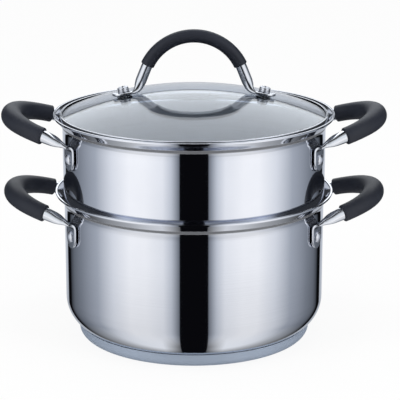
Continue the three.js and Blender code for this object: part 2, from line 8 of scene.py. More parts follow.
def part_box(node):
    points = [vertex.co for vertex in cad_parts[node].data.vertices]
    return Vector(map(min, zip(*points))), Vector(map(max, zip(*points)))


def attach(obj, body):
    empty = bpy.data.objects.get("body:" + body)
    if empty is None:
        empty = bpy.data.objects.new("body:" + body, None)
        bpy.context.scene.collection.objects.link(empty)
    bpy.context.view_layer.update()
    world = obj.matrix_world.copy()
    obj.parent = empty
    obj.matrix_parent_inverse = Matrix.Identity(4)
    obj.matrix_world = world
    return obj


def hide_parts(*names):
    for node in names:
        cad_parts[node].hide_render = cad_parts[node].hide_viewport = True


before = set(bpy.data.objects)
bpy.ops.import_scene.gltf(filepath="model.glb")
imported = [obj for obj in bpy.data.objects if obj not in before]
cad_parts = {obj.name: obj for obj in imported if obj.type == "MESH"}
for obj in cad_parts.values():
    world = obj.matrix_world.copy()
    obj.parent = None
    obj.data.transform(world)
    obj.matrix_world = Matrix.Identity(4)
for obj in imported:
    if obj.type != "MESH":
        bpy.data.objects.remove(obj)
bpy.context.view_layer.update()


# Pot body: one deep-drawn cup of 0.8 mm stainless sheet, polished to a mirror outside and satin inside.
# The floor runs into the wall through a wide round corner, and the wall opens out at the top in a
# short flare whose edge is rolled into a bead.
POT_WALL = 0.1008
POT_LIP = 0.1156
POT_FLOOR = 0.0056
POT_CORNER = 0.025
SHEET = 0.0008
STEAMER_LIP = 0.1756
LIPS = (POT_LIP, STEAMER_LIP)
FLARE_FOOT = 0.00923
FLARE_FOOT_INSIDE = 0.00895
FLARE_ROUND = 0.0024
FLARE_TOP = (0.00582, 0.00178)
FLARE_TOP_INSIDE = (0.00519, 0.00129)
FLARE_START = (0.1025, 0.1015)
FACE_BLEND = 0.0001
BEAD_OUT = 0.0069
BEAD_IN = 0.0051
BEAD_HEIGHT = 0.0018
BEAD_ROUND = 0.0006
BEAD_CREST = 0.0005
# Where the painted shade band sits under each flare, and how much rougher and less metallic it and the
# satin inside are.
CREASE_DROP = 0.0076
CREASE = 0.0016
SATIN_AND_SHADE_ROUGHNESS = 0.32
SATIN_AND_SHADE_METAL_LOSS = 0.65
POLISH_DEPTH = 0.0002
ROUND_STEPS = 6
ROUND_STEPS_PER_METRE = 700
LONG_RUN = 0.006
RUN_STEP = 0.004
SHARP_ANGLE = math.radians(40)


def turned(corners, steps=160, ring=False):
    """An outline of (radius, height, rounding) corners, rounded, divided and spun about the Z axis."""
    bm = bmesh.new()
    outline = [bm.verts.new((radius, 0, height)) for radius, height, _ in corners]
    for start, end in zip(outline, outline[1:]):
        bm.edges.new((start, end))
    if ring:
        bm.edges.new((outline[-1], outline[0]))
    for corner, (_, _, rounding) in zip(outline, corners):
        if rounding:
            bmesh.ops.bevel(
                bm, geom=[corner], offset=rounding, offset_type="OFFSET", affect="VERTICES",
                segments=ROUND_STEPS + int(rounding * ROUND_STEPS_PER_METRE), profile=0.5, material=-1,
            )
    for run in bm.edges[:]:
        if run.calc_length() > LONG_RUN:
            bmesh.ops.subdivide_edges(bm, edges=[run], cuts=int(run.calc_length() / RUN_STEP))
    bmesh.ops.spin(
        bm, geom=bm.verts[:] + bm.edges[:], cent=(0, 0, 0), axis=(0, 0, 1),
        angle=2 * math.pi, steps=steps, use_merge=True,
    )
    bmesh.ops.remove_doubles(bm, verts=bm.verts, dist=1e-5)
    bmesh.ops.recalc_face_normals(bm, faces=bm.faces)
    return bm


def flared_lip(wall, lip):
    """The corners of a vessel's flare, up its outer face, round the bead and down its inner face."""
    out, down = FLARE_TOP
    out_inside, down_inside = FLARE_TOP_INSIDE
    return [
        (wall, lip - FLARE_FOOT, FLARE_ROUND),
        (wall + out, lip - down, 0),
        (wall + BEAD_OUT, lip - BEAD_HEIGHT, BEAD_ROUND),
        (wall + BEAD_OUT, lip, BEAD_CREST),
        (wall + BEAD_IN, lip, BEAD_ROUND),
        (wall + out_inside, lip - down_inside, 0),
        (wall - SHEET, lip - FLARE_FOOT_INSIDE, FLARE_ROUND),
    ]


def add_piece(name, bm, material, body, slot, *nodes):
    """Makes a finished mesh into a piece that rides on a body and stands for CAD nodes."""
    mesh = bpy.data.meshes.new(name)
    bm.to_mesh(mesh)
    bm.free()
    mesh.shade_smooth()
    mesh.set_sharp_from_angle(angle=SHARP_ANGLE)
    mesh.materials.append(material)
    piece = bpy.data.objects.new(name, mesh)
    bpy.context.scene.collection.objects.link(piece)
    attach(piece, body)
    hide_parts(*nodes)


class Signal:
    """One output of a shader node. Arithmetic on it adds Math nodes to the same tree."""

    def __init__(self, tree, socket):
        self.tree = tree
        self.socket = socket

    def node(self, kind, settings, inputs, output=0):
        made = self.tree.nodes.new(kind)
        for name, value in settings.items():
            if name == "stops":
                while len(made.color_ramp.elements) < len(value):
                    made.color_ramp.elements.new(1)
                for element, (position, colour) in zip(made.color_ramp.elements, value):
                    element.position = position
                    element.color = (*colour, 1)
            else:
                setattr(made, name, value)
        for key, value in inputs.items():
            if isinstance(value, Signal):
                self.tree.links.new(value.socket, made.inputs[key])
            else:
                made.inputs[key].default_value = value
        return Signal(self.tree, made.outputs[output])

    def math(self, operation, first, second=0.0):
        return self.node("ShaderNodeMath", {"operation": operation}, {0: first, 1: second})

    def __add__(self, other):
        return self.math("ADD", self, other)

    def __sub__(self, other):
        return self.math("SUBTRACT", self, other)

    def __rsub__(self, other):
        return self.math("SUBTRACT", other, self)

    def __mul__(self, other):
        return self.math("MULTIPLY", self, other)

    def __truediv__(self, other):
        return self.math("DIVIDE", self, other)

    __radd__ = __add__
    __rmul__ = __mul__


def noise(where, stretch, scale, detail=3.0):
    """A cloud of values from 0 to 1 on stretched Object coordinates."""
    spread = where.node("ShaderNodeMapping", {}, {"Vector": where, "Scale": stretch})
    return where.node("ShaderNodeTexNoise", {}, {"Vector": spread, "Scale": scale, "Detail": detail})


def blend(share, first, second):
    """A colour that goes from the first to the second with a share from 0 to 1."""
    stops = ((0.25, first), (0.75, second))
    return share.node("ShaderNodeValToRGB", {"stops": stops}, {"Fac": share})


def surface(name, metallic, settings):
    """A Principled material, its shader node, and the Object coordinates that feed it."""
    material = bpy.data.materials.new(name)
    material.use_nodes = True
    tree = material.node_tree
    shader = tree.nodes["Principled BSDF"]
    shader.inputs["Metallic"].default_value = metallic
    for key, value in settings.items():
        shader.inputs[key].default_value = value
    where = Signal(tree, tree.nodes.new("ShaderNodeTexCoord").outputs["Object"])
    return material, shader, where


def feed(shader, key, signal):
    """Links a signal to one of a shader's inputs."""
    signal.tree.links.new(signal.socket, shader.inputs[key])


def ramp(signal, low, high):
    """Goes from 0 to 1 while the signal goes from low to high, and stays there."""
    return signal.node("ShaderNodeMapRange", {}, {"Value": signal, 1: low, 2: high})


def inside(where):
    """1 on the inner faces of the vessels' sheet, 0 on their flares and the pot's outer faces."""
    level = where.node("ShaderNodeVectorMath", {"operation": "MULTIPLY"}, {0: where, 1: (1, 1, 0)})
    radius = where.node("ShaderNodeVectorMath", {"operation": "LENGTH"}, {0: level}, "Value")
    height = where.node("ShaderNodeSeparateXYZ", {}, {0: where}, "Z")
    beyond = radius.math("MAXIMUM", radius - (POT_WALL - POT_CORNER))
    below = height.math("MAXIMUM", POT_FLOOR + POT_CORNER - height)
    reach = beyond.math("SQRT", beyond * beyond + below * below)
    within = ramp(reach, POT_CORNER - FACE_BLEND, POT_CORNER - 2 * FACE_BLEND)
    return within * ramp(radius, *FLARE_START)


def painted_crease_shade(where):
    """1 along the hollow under each flare, where a darker, duller band is painted in as shade."""
    height = where.node("ShaderNodeSeparateXYZ", {}, {0: where}, "Z")
    pot, steamer = (
        ramp(height, lip - CREASE_DROP + CREASE, lip - CREASE_DROP + CREASE / 2)
        * ramp(height, lip - CREASE_DROP - CREASE, lip - CREASE_DROP - CREASE / 2) for lip in LIPS
    )
    return pot + steamer


def mixed(share, first, second):
    """A colour between two colours, by a share from 0 to 1."""
    return share.node("ShaderNodeMix", {"data_type": "RGBA"}, {0: share, 6: first, 7: second}, 2)


def relief(height, strength, depth):
    """The normals of a fine relief on the surface."""
    inputs = {"Strength": strength, "Distance": depth, "Height": height}
    return height.node("ShaderNodeBump", {}, inputs)


def polished(name, dark, pale, lines, line_depth, gloss=0.018, vessel=False):
    """Polished stainless: faint polishing lines round the piece and a thin film of handling marks."""
    material, shader, where = surface(name, 1.0, {})
    marks = noise(where, (1, 1, 1), 22)
    rubbed = noise(where, lines, 1, 2)
    colour = blend(marks, dark, pale)
    roughness = gloss + 0.03 * marks + 0.012 * rubbed
    # On the vessels the inner faces get a satin finish, and the hollow under each flare gets a painted
    # shade.
    if vessel:
        crease_shade = painted_crease_shade(where)
        satin = inside(where)
        # Painted shade: the band under each flare is dark grey instead of the polished colour.
        colour = mixed(crease_shade, colour, blend(rubbed, (0.17, 0.175, 0.19), (0.22, 0.225, 0.24)))
        colour = mixed(satin, colour, blend(rubbed, (0.60, 0.61, 0.63), (0.68, 0.69, 0.71)))
        # The satin inside and the painted shade band are both made rougher and less metallic.
        satin_and_shade = crease_shade.math("MAXIMUM", crease_shade, satin)
        roughness = roughness + SATIN_AND_SHADE_ROUGHNESS * satin_and_shade
        feed(shader, "Metallic", 1 - SATIN_AND_SHADE_METAL_LOSS * satin_and_shade)
    feed(shader, "Base Color", colour)
    feed(shader, "Roughness", roughness)
    feed(shader, "Normal", relief(rubbed, line_depth, POLISH_DEPTH))
    return material


polished_steel = polished(
    "polished_steel", (0.77, 0.79, 0.85), (0.82, 0.84, 0.90), (9, 9, 1100), 0.03, vessel=True,
)

add_piece(
    "pot_vessel",
    turned([
        (0, POT_FLOOR, 0),
        (POT_WALL, POT_FLOOR, POT_CORNER),
        *flared_lip(POT_WALL, POT_LIP),
        (POT_WALL - SHEET, POT_FLOOR + SHEET, POT_CORNER - SHEET),
        (0, POT_FLOOR + SHEET, 0),
    ]),
    polished_steel, "pot", "polished_steel", "pot_body",
)


# Pot base: an aluminium disc that spreads the heat, pressed under the floor inside a shallow cup of
# satin steel sheet. The cup's lower edge is wide and round, and its rim closes on the pot's corner.
BASE_RADIUS = 0.0906
BASE_EDGE = 0.006
CLADDING = 0.0006
SEAM = 0.0003
CUP_ROUND = 0.0001


def under_corner(radius):
    """The height of the cup's rim below the pot's round corner."""
    beyond = radius - POT_WALL + POT_CORNER
    return POT_FLOOR + POT_CORNER - math.sqrt(POT_CORNER ** 2 - beyond ** 2) - SEAM


satin_steel, shader, where = surface("satin_steel", 0.5, {"Specular IOR Level": 0.4})
grain = noise(where, (14, 14, 900), 1, 4)
patches = noise(where, (1, 1, 1), 35)
feed(shader, "Base Color", blend(0.5 * grain + 0.5 * patches, (0.43, 0.50, 0.61), (0.49, 0.56, 0.67)))
feed(shader, "Roughness", 0.55 + 0.14 * grain)
feed(shader, "Normal", relief(grain, 0.12, POLISH_DEPTH))

add_piece(
    "base_cup",
    turned([
        (0, 0, 0),
        (BASE_RADIUS, 0, BASE_EDGE),
        (BASE_RADIUS, under_corner(BASE_RADIUS), CUP_ROUND),
        (BASE_RADIUS - CLADDING, under_corner(BASE_RADIUS - CLADDING), 0),
        (BASE_RADIUS - CLADDING, CLADDING, BASE_EDGE - CLADDING),
        (0, CLADDING, 0),
    ]),
    satin_steel, "pot", "satin_steel", "pot_base_cladding",
)

base_aluminium, shader, where = surface("base_aluminium", 1.0, {})
grain = noise(where, (1, 1, 1), 220)
feed(shader, "Base Color", blend(grain, (0.70, 0.72, 0.74), (0.80, 0.82, 0.84)))
feed(shader, "Roughness", 0.4 + 0.15 * grain)
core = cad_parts["pot_base_core"]
core.data.materials.clear()
core.data.materials.append(base_aluminium)


# Pot handles: 9.6 mm stainless tube bent into a tilted loop, left and right. Each end is pressed flat
# into a tab with a round end, bent down against the wall and held there by one rivet.
TUBE = 0.0048
LOOP = 0.0425
LOOP_DROP = 0.0018
LOOP_TILT = math.radians(17.3)
GRIP_SPREAD = math.radians(70.5)
TAB_WIDTH = 0.018
TAB = 0.0022
BEND = 0.0025
ARM = 0.004
SAG = 0.0022
SEAT = 0.0003
RIVET_HEAD = 0.0045
RIVET_CLEAR = 0.002

tube_steel = polished("tube_steel", (0.78, 0.80, 0.85), (0.84, 0.86, 0.91), (60, 60, 60), 0.02, 0.12)


def swept(stations, sides, ring=False):
    """Rings of (place, heading, across, half width, half height, squareness), bridged into a skin."""
    bm = bmesh.new()
    loops = []
    for at, heading, across, half_width, half_height, squareness in stations:
        side = (across - heading * across.dot(heading)).normalized()
        up = heading.cross(side)
        verts = bmesh.ops.create_circle(bm, segments=sides, radius=1)["verts"]
        for vert in verts:
            x, y, _ = vert.co
            x = math.copysign(abs(x) ** (2 / squareness), x)
            y = math.copysign(abs(y) ** (2 / squareness), y)
            vert.co = at + side * (half_width * x) + up * (half_height * y)
        loops.append(list({edge for vert in verts for edge in vert.link_edges}))
    pairs = list(zip(loops, loops[1:]))
    if ring:
        pairs.append((loops[-1], loops[0]))
    else:
        bmesh.ops.edgeloop_fill(bm, edges=loops[0])
        bmesh.ops.edgeloop_fill(bm, edges=loops[-1])
    for first, second in pairs:
        bmesh.ops.bridge_loops(bm, edges=first + second)
    bmesh.ops.recalc_face_normals(bm, faces=bm.faces)
    return bm


def headed(line):
    """Gives each (place, ...) station of a line the line's heading there."""
    last = len(line) - 1
    return [
        (at, (line[min(i + 1, last)][0] - line[max(i - 1, 0)][0]).normalized(), *rest)
        for i, (at, *rest) in enumerate(line)
    ]


def pressed(tube, tab_width, flat, share=1.0):
    """Half width, half height and squareness of a tube that is pressed flat by a share from 0 to 1."""
    half_width = (tube + (tab_width / 2 - tube) * flat) * share
    return half_width, tube + (TAB / 2 - tube) * flat, 2 + 3 * flat


def tab_end(half_width):
    """How far each station lies in from a tab's round end, and the share of the tab's width there."""
    turns = [(i + 0.25) / 8.25 * math.pi / 2 for i in range(9)]
    return [(half_width * (1 - math.cos(turn)), math.sin(turn)) for turn in turns]


def curved(start, corner, end, steps):
    """Places along the smooth bend between two straight runs."""
    shares = [i / steps for i in range(steps + 1)]
    return [start * (1 - t) ** 2 + corner * (2 * t * (1 - t)) + end * t ** 2 for t in shares]


class LoopHandle:
    """The line of a side handle on the +X side of a vessel, from its front tab to its back tab."""

    def __init__(self, wall, lip):
        self.reach = wall + SEAT + TAB / 2
        self.azimuth = math.asin(LOOP / self.reach)
        self.outward = Vector((math.cos(LOOP_TILT), 0, math.sin(LOOP_TILT)))
        foot = self.reach * math.cos(self.azimuth)
        height = lip - LOOP_DROP - LOOP * self.outward.z
        self.centre = Vector((foot + (BEND + ARM) * self.outward.x, 0, height))
        self.elbow_height = self.centre.z - (BEND + ARM) * self.outward.z - SAG
        self.rivet_height = self.elbow_height - BEND - RIVET_CLEAR - RIVET_HEAD

    def on_loop(self, angle):
        swing = math.cos(angle) * self.outward + math.sin(angle) * Vector((0, 1, 0))
        return self.centre + LOOP * swing

    def frame_at(self, angle):
        heading = math.cos(angle) * Vector((0, 1, 0)) - math.sin(angle) * self.outward
        at = self.on_loop(angle)
        return at, heading, self.centre - at

    def end(self, hand):
        """One end, from the tab's tip to the grip; hand is -1 in front and 1 behind."""
        across = Vector((math.sin(self.azimuth), -hand * math.cos(self.azimuth), 0))
        elbow = Vector((self.reach * math.cos(self.azimuth), hand * LOOP, self.elbow_height))
        tip = Vector((elbow.x, elbow.y, self.rivet_height - TAB_WIDTH / 2))
        up = Vector((0, 0, 1))
        line = [
            (tip + up * inset, across, *pressed(TUBE, TAB_WIDTH, 1, share))
            for inset, share in tab_end(TAB_WIDTH / 2)
        ]
        turn = math.pi / 2 - GRIP_SPREAD
        length = ARM + LOOP * turn
        for at in curved(elbow - up * BEND, elbow, elbow + self.outward * BEND, 8):
            line.append((at, across, *pressed(TUBE, TAB_WIDTH, 1)))
        for i in range(11):
            done = turn * i / 10
            flat = 1 - (ARM + LOOP * done) / length
            level = self.on_loop(hand * (math.pi / 2 - done))
            settled = across.lerp((self.centre - level).normalized(), min(i / 4, 1))
            line.append((level - up * (SAG * flat ** 2), settled, *pressed(TUBE, TAB_WIDTH, flat ** 2)))
        return line

    def tube(self):
        middle = []
        for i in range(1, 24):
            at, _, across = self.frame_at(GRIP_SPREAD * (i / 12 - 1))
            middle.append((at, across, *pressed(TUBE, TAB_WIDTH, 0)))
        return swept(headed(self.end(-1) + middle + self.end(1)[::-1]), 32)


pot_loop = LoopHandle(POT_WALL, POT_LIP)
SIDES = {"right": Matrix.Identity(4), "left": Matrix.Rotation(math.pi, 4, "Z")}


def turn_to(bm, place):
    """Moves a mesh to its place on the part."""
    bmesh.ops.transform(bm, matrix=place, verts=bm.verts)
    return bm


for side, place in SIDES.items():
    add_piece(
        f"pot_tube_{side}", turn_to(pot_loop.tube(), place), tube_steel,
        "pot", "tube_steel", f"pot_handle_{side}",
    )


# Pot grips: soft silicone sleeves pushed over the loops, charcoal with a blue cast and a satin face.
# Each swells towards its middle, where the hand pulls, and ends in a plain rounded edge.
GRIP_PLAY = 0.0003
GRIP_END_WALL = 0.0015
GRIP_SWELL = 0.0015
GRIP_EDGE = 0.0007
GRIP_GRAIN = 0.0001

soft_grip, shader, where = surface("soft_grip", 0.0, {"Specular IOR Level": 0.45})
grain = noise(where, (1, 1, 1), 2600, 4)
bloom = noise(where, (1, 1, 1), 70)
charcoal = blend(0.7 * bloom + 0.3 * grain, (0.010, 0.0125, 0.022), (0.018, 0.0215, 0.034))
feed(shader, "Base Color", charcoal)
feed(shader, "Roughness", 0.44 + 0.14 * bloom)
feed(shader, "Normal", relief(grain, 0.18, GRIP_GRAIN))


def sleeve(frame_at, spread, line_radius, bore, wall_at):
    """A sleeve along an arc: one way along its bore, round its end, and back along its skin."""
    stations = []
    for i in range(33):
        stations.append((*frame_at(spread * (1 - i / 16)), bore, bore, 2))
    edge = [(i / 5) * math.pi / 2 for i in range(5)]
    inset = [GRIP_EDGE * (1 - math.sin(turn)) for turn in edge]
    setback = [GRIP_EDGE * (1 - math.cos(turn)) / line_radius for turn in edge]
    body = spread - GRIP_EDGE / line_radius
    skin = [(back - spread, drop) for back, drop in zip(setback, inset)]
    skin += [(body * (i / 16 - 1), 0) for i in range(33)]
    skin += [(spread - back, drop) for back, drop in zip(setback[::-1], inset[::-1])]
    for angle, drop in skin:
        radius = bore + wall_at(angle / spread) - drop
        stations.append((*frame_at(angle), radius, radius, 2))
    return swept(stations, 32, ring=True)


def side_wall(share):
    """The sleeve's wall, at a share from -1 to 1 along the grip."""
    return GRIP_END_WALL + GRIP_SWELL * math.cos(share * math.pi / 2) ** 2


for side, place in SIDES.items():
    grip = sleeve(pot_loop.frame_at, GRIP_SPREAD, LOOP, TUBE + GRIP_PLAY, side_wall)
    add_piece(
        f"pot_sleeve_{side}", turn_to(grip, place), soft_grip, "pot", "soft_grip", f"pot_grip_{side}",
    )


# Pot rivets: solid stainless, one through each tab and the wall, with a domed head outside and a
# lower head formed inside the pot.
RIVET = 0.0025
RIVET_HEIGHT = 0.0024
RIVET_SIDE = 0.0005
RIVET_TAIL = 0.0012
RIVET_EDGE = 0.0001

fastener_steel = polished(
    "fastener_steel", (0.76, 0.78, 0.84), (0.84, 0.86, 0.92), (160, 160, 160), 0.05, 0.28,
)


def cap(edge, low, rise, steps):
    """The corners of a dome's face, from its edge up to its top."""
    ball = (edge ** 2 + rise ** 2) / (2 * rise)
    spread = math.asin(edge / ball)
    turns = [spread * (1 - i / steps) for i in range(steps + 1)]
    return [(ball * math.sin(turn), low + rise - ball * (1 - math.cos(turn)), 0) for turn in turns]


def rivet(wall, loop):
    """A rivet along the Z axis, from its inner head out to its dome."""
    tail = math.sqrt((wall - SHEET) ** 2 - RIVET_HEAD ** 2)
    head = loop.reach + TAB / 2
    return turned([
        (0, tail - RIVET_TAIL, 0),
        (RIVET_HEAD, tail - RIVET_TAIL, RIVET_TAIL * 0.9),
        (RIVET_HEAD, tail, 0),
        (RIVET, tail, 0),
        (RIVET, head, 0),
        (RIVET_HEAD, head, RIVET_EDGE),
        *cap(RIVET_HEAD, head + RIVET_SIDE, RIVET_HEIGHT - RIVET_SIDE, 12),
    ], 32)


def rivet_place(loop, side, end):
    """Where a rivet goes: square to the wall, through the middle of a tab."""
    hand = -1 if (side == "right") == (end == "front") else 1
    aim = Matrix.Rotation(hand * loop.azimuth, 4, "Z") @ Matrix.Rotation(math.pi / 2, 4, "Y")
    return SIDES[side] @ Matrix.Translation((0, 0, loop.rivet_height)) @ aim


for side in SIDES:
    for end in ("front", "back"):
        stud = turn_to(rivet(POT_WALL, pot_loop), rivet_place(pot_loop, side, end))
        add_piece(
            f"pot_stud_{side}_{end}", stud, fastener_steel,
            "pot", "fastener_steel", f"pot_rivet_{side}_{end}",
        )


# Steamer insert: a shallower drawn vessel in the same polished sheet. Its shoulder rests in the pot's
# flare, its spigot hangs inside the pot, and its floor is punched with rings of round steam holes.
STEAMER_WALL = 0.1013
SPIGOT = 0.0988
STEAMER_CORNER = 0.008
SHOULDER = (0.1056, 0.1088)
SHOULDER_ROUND = 0.0008
SHOULDER_RISE = 0.00028
STEAM_HOLE = 0.0035
STEAM_PITCH = 0.024
PUNCH_OVERRUN = 0.001
steamer_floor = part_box("steamer_body")[0].z


def cut_away(bm, cutter):
    """The first mesh less the second, by a Boolean modifier on two short-lived objects."""
    objects = []
    for name, source in (("blank", bm), ("cutter", cutter)):
        mesh = bpy.data.meshes.new(name)
        source.to_mesh(mesh)
        source.free()
        objects.append(bpy.data.objects.new(name, mesh))
        bpy.context.scene.collection.objects.link(objects[-1])
    modifier = objects[0].modifiers.new("cut", "BOOLEAN")
    modifier.operation = "DIFFERENCE"
    modifier.solver = "EXACT"
    modifier.object = objects[1]
    result = bmesh.new()
    result.from_object(objects[0], bpy.context.evaluated_depsgraph_get())
    for spent in objects:
        mesh = spent.data
        bpy.data.objects.remove(spent)
        bpy.data.meshes.remove(mesh)
    return result


def bar(bm, radius, low, high, place):
    """Adds a round bar along the place's own Z axis, as a tool for a hole."""
    middle = Matrix.Translation((0, 0, (low + high) / 2))
    bmesh.ops.create_cone(
        bm, cap_ends=True, segments=32, radius1=radius, radius2=radius, depth=high - low,
        matrix=place @ middle,
    )


steamer_shell = turned([
    (0, steamer_floor, 0),
    (SPIGOT, steamer_floor, STEAMER_CORNER),
    (SPIGOT, SHOULDER[0], SHOULDER_ROUND),
    (STEAMER_WALL, SHOULDER[1], SHOULDER_ROUND),
    *flared_lip(STEAMER_WALL, STEAMER_LIP),
    (STEAMER_WALL - SHEET, SHOULDER[1] + SHOULDER_RISE, SHOULDER_ROUND),
    (SPIGOT - SHEET, SHOULDER[0] + SHOULDER_RISE, SHOULDER_ROUND),
    (SPIGOT - SHEET, steamer_floor + SHEET, STEAMER_CORNER - SHEET),
    (0, steamer_floor + SHEET, 0),
])
punch = bmesh.new()
for ring in range(4):
    count = max(6 * ring, 1)
    for i in range(count):
        spoke = Matrix.Rotation(2 * math.pi * i / count, 4, "Z")
        hole = spoke @ Matrix.Translation((ring * STEAM_PITCH, 0, steamer_floor))
        bar(punch, STEAM_HOLE, -PUNCH_OVERRUN, SHEET + PUNCH_OVERRUN, hole)

add_piece(
    "steamer_vessel", cut_away(steamer_shell, punch), polished_steel,
    "steamer", "polished_steel", "steamer_body",
)


# Steamer handles, grips and rivets: the same bent tube, silicone sleeve and stainless rivets as on
# the pot, set at the same height below the steamer's own lip.
steamer_loop = LoopHandle(STEAMER_WALL, STEAMER_LIP)

for side, place in SIDES.items():
    add_piece(
        f"steamer_tube_{side}", turn_to(steamer_loop.tube(), place), tube_steel,
        "steamer", "tube_steel", f"steamer_handle_{side}",
    )
    grip = sleeve(steamer_loop.frame_at, GRIP_SPREAD, LOOP, TUBE + GRIP_PLAY, side_wall)
    add_piece(
        f"steamer_sleeve_{side}", turn_to(grip, place), soft_grip,
        "steamer", "soft_grip", f"steamer_grip_{side}",
    )
    for end in ("front", "back"):
        stud = turn_to(rivet(STEAMER_WALL, steamer_loop), rivet_place(steamer_loop, side, end))
        add_piece(
            f"steamer_stud_{side}_{end}", stud, fastener_steel,
            "steamer", "fastener_steel", f"steamer_rivet_{side}_{end}",
        )


# Lid glass: a shallow dome of 4 mm tempered glass with a faint blue cast. Its two faces are parts of
# balls about one centre, and it is drilled twice, square to its face, for the handle's screws.
GLASS = 0.004
GLASS_EDGE = 0.1019
DOME_RISE = 0.019
LID_HOLE = 0.0535
SCREW_HOLE = 0.0023
DRILL = (-0.006, 0.002)
DOME_STEPS = 40
glass_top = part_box("lid_glass")[1].z
dome_ball = (GLASS_EDGE ** 2 + DOME_RISE ** 2) / (2 * DOME_RISE)
under_ball = dome_ball - GLASS
under_rise = under_ball - math.sqrt(under_ball ** 2 - GLASS_EDGE ** 2)

lean = math.asin(LID_HOLE / dome_ball)
seat_drop = dome_ball - math.sqrt(dome_ball ** 2 - LID_HOLE ** 2)
screw_seat = Vector((LID_HOLE, 0, glass_top - seat_drop))
SCREWS = {
    side: place @ Matrix.Translation(screw_seat) @ Matrix.Rotation(lean, 4, "Y")
    for side, place in SIDES.items()
}

lid_glass, shader, where = surface("lid_glass", 0.0, {
    "Transmission Weight": 1.0, "IOR": 1.5, "Specular IOR Level": 0.5,
})
film = noise(where, (1, 1, 1), 30)
feed(shader, "Base Color", blend(film, (0.81, 0.87, 0.95), (0.85, 0.90, 0.97)))
feed(shader, "Roughness", 0.012 * film)

drill = bmesh.new()
for seat in SCREWS.values():
    bar(drill, SCREW_HOLE, *DRILL, seat)
glass_blank = turned([
    *cap(GLASS_EDGE, glass_top - GLASS - under_rise, under_rise, DOME_STEPS)[::-1],
    *cap(GLASS_EDGE, glass_top - DOME_RISE, DOME_RISE, DOME_STEPS),
])
add_piece("lid_dome", cut_away(glass_blank, drill), lid_glass, "lid", "lid_glass", "lid_glass")


# Lid band: a strip of polished steel folded round the edge of the glass. Its bevelled foot seats in the
# steamer's flare, and its upper flange grips over the glass.
BAND = 0.1032
BAND_SHEET = 0.0006
BAND_LIP = 0.1015
band_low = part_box("lid_rim")[0].z
band_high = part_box("lid_rim")[1].z

rim_steel = polished("rim_steel", (0.79, 0.81, 0.86), (0.84, 0.86, 0.91), (9, 9, 700), 0.02)
add_piece(
    "lid_band",
    turned([
        (BAND_LIP, band_low, 0.0002),
        (BAND - 0.00094, band_low, 0.0003),
        (BAND, band_low + 0.0012, 0.0004),
        (BAND, band_high, 0.0006),
        (BAND_LIP, band_high, 0.0003),
        (BAND_LIP, band_high - BAND_SHEET, 0.0002),
        (BAND - BAND_SHEET, band_high - BAND_SHEET, 0.0004),
        (BAND - BAND_SHEET, band_low + 0.0014, 0.0003),
        (BAND - 0.0012, band_low + BAND_SHEET, 0.0002),
        (BAND_LIP, band_low + BAND_SHEET, 0.0002),
    ], ring=True),
    rim_steel, "lid", "rim_steel", "lid_rim",
)


# Lid handle: 8.5 mm stainless tube bent into an arch, with both ends pressed flat, bent out along the
# glass and screwed down. The tips of the tabs lift a little off the glass.
LID_TUBE = 0.00425
LID_TAB_WIDTH = 0.014
LID_TAB_END = 0.009
LID_BEND = 0.004
LID_FLATTEN = 0.004
ARCH_TOP = 0.041
ARCH_SPREAD = math.radians(68)
TAB_LOW = 0.0008
SCREW_HEAD = 0.0043
LEG_CLEAR = 0.002
BEND_FLATNESS = 0.2
TIP_LIFT = 0.0006

tab_run = Vector((math.cos(lean), 0, -math.sin(lean)))
tab_middle = SCREWS["right"] @ Vector((0, 0, TAB_LOW + TAB / 2))
elbow = tab_middle - tab_run * (SCREW_HEAD + LEG_CLEAR + LID_BEND)
leg_run = Vector((math.cos(ARCH_SPREAD), 0, -math.sin(ARCH_SPREAD)))
arch_high = glass_top + ARCH_TOP
arch = (elbow.z + elbow.x * math.tan(ARCH_SPREAD) - arch_high) / (1 / math.cos(ARCH_SPREAD) - 1)
across = Vector((0, 1, 0))


def arch_frame(angle):
    """Place, heading and sideways direction on the arch, at an angle from its top."""
    at = Vector((arch * math.sin(angle), 0, arch_high - arch * (1 - math.cos(angle))))
    return at, Vector((math.cos(angle), 0, -math.sin(angle))), across


leg_top = arch_frame(ARCH_SPREAD)[0]
right_half = []
for inset, share in tab_end(LID_TAB_WIDTH / 2):
    lift = TIP_LIFT * max(1 - inset / (LID_TAB_WIDTH / 2), 0) ** 2
    at = tab_middle + tab_run * (LID_TAB_END - inset) + Vector((0, 0, lift))
    right_half.append((at, across, *pressed(LID_TUBE, LID_TAB_WIDTH, 1, share)))
bend = curved(elbow + tab_run * LID_BEND, elbow, elbow - leg_run * LID_BEND, 8)
leg_length = (leg_top - elbow).length
for i, at in enumerate(bend):
    right_half.append((at, across, *pressed(LID_TUBE, LID_TAB_WIDTH, 1 - (1 - BEND_FLATNESS) * i / 8)))
for i in range(1, 9):
    run = LID_BEND + (leg_length - LID_BEND) * i / 8
    flat = max(BEND_FLATNESS * (1 - (run - LID_BEND) / LID_FLATTEN), 0)
    right_half.append((elbow - leg_run * run, across, *pressed(LID_TUBE, LID_TAB_WIDTH, flat)))
crown = []
for i in range(1, 32):
    at, _, _ = arch_frame(ARCH_SPREAD * (1 - i / 16))
    crown.append((at, across, *pressed(LID_TUBE, LID_TAB_WIDTH, 0)))
left_half = [(Vector((-at.x, at.y, at.z)), *rest) for at, *rest in right_half[::-1]]

add_piece(
    "lid_tube", swept(headed(right_half + crown + left_half), 32), tube_steel,
    "lid", "tube_steel", "lid_handle",
)


# Lid grip: a thin silicone sleeve over the arch, in the same charcoal as the side grips. It stops a
# little short of the legs and is a touch thicker at its ends.
LID_GRIP_STOP = math.radians(3.5)
LID_GRIP_WALL = 0.00055
LID_GRIP_END = 0.0002


def lid_wall(share):
    """The sleeve's wall, at a share from -1 to 1 along the arch."""
    return LID_GRIP_WALL + LID_GRIP_END * share ** 2


arch_grip = sleeve(arch_frame, ARCH_SPREAD - LID_GRIP_STOP, arch, LID_TUBE + GRIP_PLAY, lid_wall)
add_piece("lid_sleeve", arch_grip, soft_grip, "lid", "soft_grip", "lid_grip")


